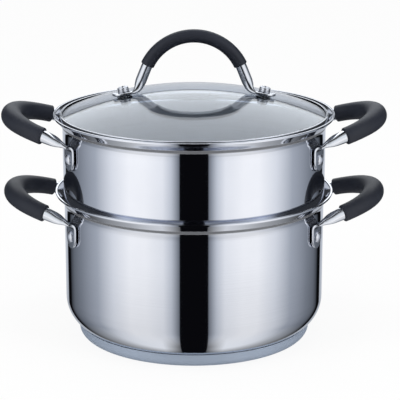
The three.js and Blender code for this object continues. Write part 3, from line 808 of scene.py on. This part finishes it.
# Lid fasteners: a cross-slotted steel screw through each tab and the glass, a silicone washer above
# and below the glass, and a flanged hexagon nut underneath.
SCREW = 0.002
SCREW_HEIGHT = 0.0036
SLOT_WIDTH = 0.0012
SLOT_DEPTH = 0.0014
SLOT_INSET = 0.001
WASHER = 0.006
WASHER_SHEET = 0.0005
WASHER_ROUND = 0.0002
STACK = 0.00015
SEAL_PLAY = 0.0003
NUT_FLANGE = 0.0055
NUT_FLANGE_SHEET = 0.0012
NUT = 0.0036
NUT_HEIGHT = 0.004
NUT_ROUND = 0.0003
head_low = TAB_LOW + TAB + STACK
head_high = head_low + SCREW_HEIGHT
seal_high = -GLASS - SEAL_PLAY
seal_low = seal_high - WASHER_SHEET
nut_high = seal_low - STACK
nut_flange_low = nut_high - NUT_FLANGE_SHEET
nut_low = nut_flange_low - NUT_HEIGHT


def washer(low, high):
    """A soft washer with rounded outer edges."""
    rim = [(WASHER, low, WASHER_ROUND), (WASHER, high, WASHER_ROUND)]
    return turned([(SCREW_HOLE, low, 0), *rim, (SCREW_HOLE, high, 0)], 40, ring=True)


for side, seat in SCREWS.items():
    blank = turned([
        (0, nut_low, 0),
        (SCREW, nut_low, 0.0003),
        (SCREW, head_low, 0),
        (SCREW_HEAD, head_low, 0.0002),
        (SCREW_HEAD, head_high, 0.0010),
        (0, head_high, 0),
    ], 40)
    for angle in (0, math.pi / 2):
        slot = bmesh.new()
        slot_size = Matrix.Diagonal((2 * (SCREW_HEAD - SLOT_INSET), SLOT_WIDTH, 2 * SLOT_DEPTH, 1))
        slot_place = Matrix.Translation((0, 0, head_high)) @ Matrix.Rotation(angle, 4, "Z")
        bmesh.ops.create_cube(slot, size=1, matrix=slot_place @ slot_size)
        blank = cut_away(blank, slot)
    add_piece(
        f"lid_bolt_{side}", turn_to(blank, seat), fastener_steel,
        "lid", "fastener_steel", f"lid_screw_{side}",
    )
    add_piece(
        f"lid_washer_{side}", turn_to(washer(STACK, STACK + WASHER_SHEET), seat), soft_grip,
        "lid", "soft_grip", f"lid_gasket_{side}",
    )
    add_piece(
        f"lid_underwasher_{side}", turn_to(washer(seal_low, seal_high), seat), soft_grip,
        "lid", "soft_grip", f"lid_seal_{side}",
    )
    nut = turned([
        (SCREW_HOLE, nut_flange_low, 0),
        (NUT_FLANGE, nut_flange_low, NUT_ROUND),
        (NUT_FLANGE, nut_high, NUT_ROUND),
        (SCREW_HOLE, nut_high, 0),
    ], 40, ring=True)
    boss = turned([
        (SCREW_HOLE, nut_low, 0),
        (NUT, nut_low, NUT_ROUND),
        (NUT, nut_flange_low, 0),
        (SCREW_HOLE, nut_flange_low, 0),
    ], 6, ring=True)
    joined = bpy.data.meshes.new("nut_boss")
    boss.to_mesh(joined)
    boss.free()
    nut.from_mesh(joined)
    bpy.data.meshes.remove(joined)
    add_piece(
        f"lid_hexagon_{side}", turn_to(nut, seat), fastener_steel,
        "lid", "fastener_steel", f"lid_nut_{side}",
    )


# Stage: a plain white floor that keeps a soft shadow, three soft lamps and a white surround. Polished
# metal sees a studio there instead: a dark gap round the camera, softbox panels, grey walls and black
# flags at the sides, a white wall and a high softbox behind, a dim ceiling and a table.
FLOOR_SIZE = 6
FLOOR_GLOW = 0.9
PANELS = (
    (0.07, 0.17), (0.11, 0.62), (0.15, 0.88), (0.24, 1.0), (0.32, 1.0), (0.42, 0.78), (0.525, 0.42),
    (0.66, 0.23), (0.74, 0.15), (0.78, 0.07), (0.80, 0.003), (0.845, 0.003), (0.86, 0.5), (1.0, 0.65),
)
LAMP_AIM = Vector((0, 0, 0.12))

floor_mesh = bpy.data.meshes.new("floor")
bm = bmesh.new()
bmesh.ops.create_grid(bm, x_segments=1, y_segments=1, size=FLOOR_SIZE)
bm.to_mesh(floor_mesh)
bm.free()
floor = bpy.data.objects.new("floor", floor_mesh)
bpy.context.scene.collection.objects.link(floor)
floor.visible_glossy = False

paper = bpy.data.materials.new("floor_paper")
paper.use_nodes = True
tree = paper.node_tree
tree.nodes["Principled BSDF"].inputs["Base Color"].default_value = (0.95, 0.95, 0.95, 1)
tree.nodes["Principled BSDF"].inputs["Roughness"].default_value = 0.9
paths = tree.nodes.new("ShaderNodeLightPath")
camera_ray = Signal(tree, paths.outputs["Is Camera Ray"])
glass_ray = Signal(tree, paths.outputs["Is Transmission Ray"])
glow = camera_ray.node("ShaderNodeEmission", {}, {"Color": (1, 1, 1, 1), "Strength": 1.0})
seen = camera_ray.node("ShaderNodeMixShader", {}, {
    0: FLOOR_GLOW * camera_ray.math("MAXIMUM", camera_ray, glass_ray),
    1: Signal(tree, tree.nodes["Principled BSDF"].outputs[0]),
    2: glow,
})
tree.links.new(seen.socket, tree.nodes["Material Output"].inputs["Surface"])
floor_mesh.materials.append(paper)

world = bpy.data.worlds.new("studio")
bpy.context.scene.world = world
world.use_nodes = True
tree = world.node_tree
tree.nodes.clear()
aim = Signal(tree, tree.nodes.new("ShaderNodeTexCoord").outputs["Generated"])
split = tree.nodes.new("ShaderNodeSeparateXYZ")
tree.links.new(aim.socket, split.inputs[0])
east, north, height = (Signal(tree, socket) for socket in split.outputs)


def light(colour, strength):
    """A plain light of one colour in the surround."""
    return aim.node("ShaderNodeBackground", {}, {"Color": (*colour, 1), "Strength": strength})


def covered(base, cover, share):
    """One light with another laid over it, by a share from 0 to 1."""
    return share.node("ShaderNodeMixShader", {}, {0: share, 1: base, 2: cover})


bearing = east.math("ARCTAN2", east, -1 * north)
facing = bearing.math("ABSOLUTE", bearing) / math.pi
panels = facing.node("ShaderNodeValToRGB", {"stops": [
    (share, (level * (0.88 + 0.12 * level), level, level * (1.2 - 0.2 * level)))
    for share, level in PANELS
]}, {"Fac": facing})
low_band = ramp(height, -0.30, -0.236) * ramp(height, -0.1, -0.2)
fade = 0.86 + 0.17 * ramp(height, -0.335, -0.30) + 0.08 * low_band
studio = facing.node("ShaderNodeBackground", {}, {"Color": panels, "Strength": fade})

aside = east.math("ABSOLUTE", east)
back = ramp(aside, 0.42, 0.36) * ramp(north, 0.05, 0.15)
low = ramp(height, 0.10, 0.22) * (1 - back)
high = ramp(height, 0.207, 0.212) * back
wings = ramp(facing, 0.10, 0.16) * ramp(facing, 0.55, 0.45) * ramp(height, 0.85, 0.7)
ceiling = 0.05 + 0.35 * ramp(height, 0.6, 0.9) + 0.9 * wings
studio = covered(studio, light((0.93, 0.97, 1), ceiling), low + high)
rays = tree.nodes.new("ShaderNodeLightPath")
bounces = Signal(tree, rays.outputs["Glossy Depth"])
softbox = ramp(height, 0.228, 0.234) * ramp(height, 0.875, 0.86) * back * ramp(bounces, 2, 1)
studio = covered(studio, light((0.93, 0.965, 1), 1.55 + 0.35 * ramp(height, 0.30, 0.75)), softbox)

slant = aside / north.math("MAXIMUM", 0.46 - 0.52 * north, 0.23)
table = 0.88 - 0.36 * ramp(north, 0.0, 0.26) - 0.16 * ramp(north, 0.26, 0.54)
table = table * (0.17 + 0.83 * ramp(slant, 0.22, 0.52))
studio = covered(studio, light((0.96, 0.98, 1), table), ramp(height, -0.55, -0.95))
gap = ramp(slant, 0.222, 0.212) * ramp(north, 0.65, 0.58) * ramp(height, 0.2, 0.1)
gap = gap + ramp(aside, 0.13, 0.12) * ramp(north, 0.49, 0.46) * ramp(height, 0.1, 0.2)
studio = covered(studio, light((0.003, 0.003, 0.004), 1.0), gap)

mirrored = bounces.math("MINIMUM", bounces, 1.0)
camera_ray = Signal(tree, rays.outputs["Is Camera Ray"])
glass_ray = Signal(tree, rays.outputs["Is Transmission Ray"])
direct = bounces.math("MAXIMUM", camera_ray, glass_ray)
backdrop = covered(light((1, 1, 1), 0.75 + 0.25 * direct), studio, mirrored)
tree.links.new(backdrop.socket, tree.nodes.new("ShaderNodeOutputWorld").inputs["Surface"])

for name, spot, size, power in (
    ("softbox_over", (0.0, -0.2, 1.6), 0.6, 6.0),
    ("softbox_left", (-1.5, -1.1, 1.1), 0.8, 5.0),
    ("softbox_right", (1.5, -1.1, 1.1), 0.8, 5.0),
):
    lamp = bpy.data.lights.new(name, "AREA")
    lamp.shape = "SQUARE"
    lamp.size = size
    lamp.energy = power
    softbox_object = bpy.data.objects.new(name, lamp)
    bpy.context.scene.collection.objects.link(softbox_object)
    softbox_object.location = spot
    softbox_object.visible_glossy = False
    softbox_object.visible_transmission = False
    softbox_object.rotation_euler = (LAMP_AIM - Vector(spot)).to_track_quat("-Z", "Y").to_euler()


# Camera: a long lens a little above the lid, tilted down at the vessels. It stands as far off as the
# photograph's perspective says, and its sensor is shifted a little to one side.
SENSOR = 36
LENS = 149.92
LENS_SHIFT = 0.015
CAMERA_PLACE = (0, -1.2557, 0.4457)
CAMERA_TILT = 0.2648

lens = bpy.data.cameras.new("camera")
lens.sensor_width = SENSOR
lens.lens = LENS
lens.shift_x = LENS_SHIFT
camera = bpy.data.objects.new("camera", lens)
bpy.context.scene.collection.objects.link(camera)
camera.location = CAMERA_PLACE
camera.rotation_euler = (math.pi / 2 - CAMERA_TILT, 0, 0)
bpy.context.scene.camera = camera
bpy.context.scene.view_settings.view_transform = "Standard"
